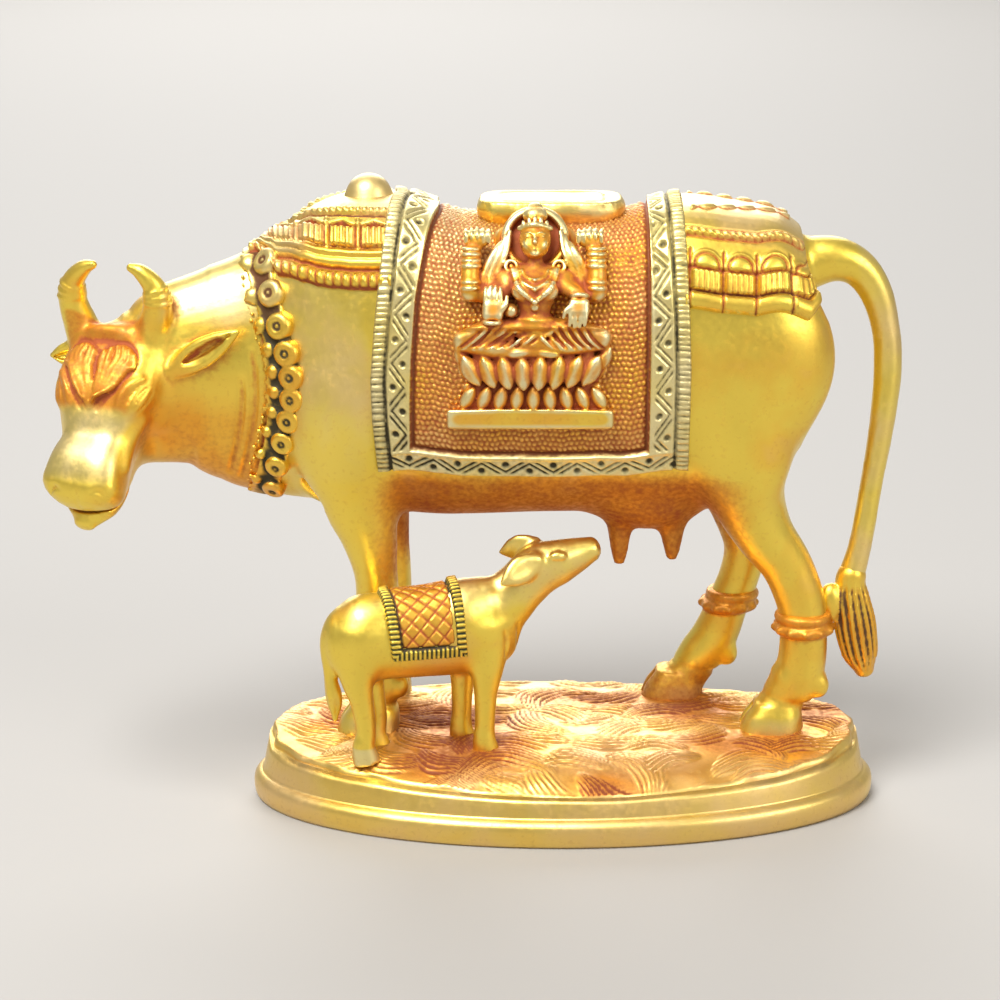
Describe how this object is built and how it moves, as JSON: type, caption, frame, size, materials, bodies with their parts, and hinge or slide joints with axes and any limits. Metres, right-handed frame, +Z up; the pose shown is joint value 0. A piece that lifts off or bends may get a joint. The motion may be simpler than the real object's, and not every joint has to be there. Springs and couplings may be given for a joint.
{
  "type": "cow and calf statue",
  "caption": "Cast brass cow in a saddle cloth and garland, head turned aside, with a calf reaching for her udder, on an oval base.",
  "frame": {"origin": "centre of the base's flat underside", "axes": "+X along the base from the cow's head to her tail, +Y away from the side with the calf, +Z up"},
  "size_m": [0.1789, 0.067, 0.1325],
  "materials": {
    "base_brass": "cast, brushed bright on the edge, with an orange-brown patina in the cut ground",
    "cow_brass": "cast and polished, with a copper-red and green-black patina in the recesses",
    "calf_brass": "cast and polished, with a brown patina in the blanket"
  },
  "bodies": {
    "root": {"base": "base_brass", "cow": "cow_brass", "calf": "calf_brass"}
  },
  "joints": []
}
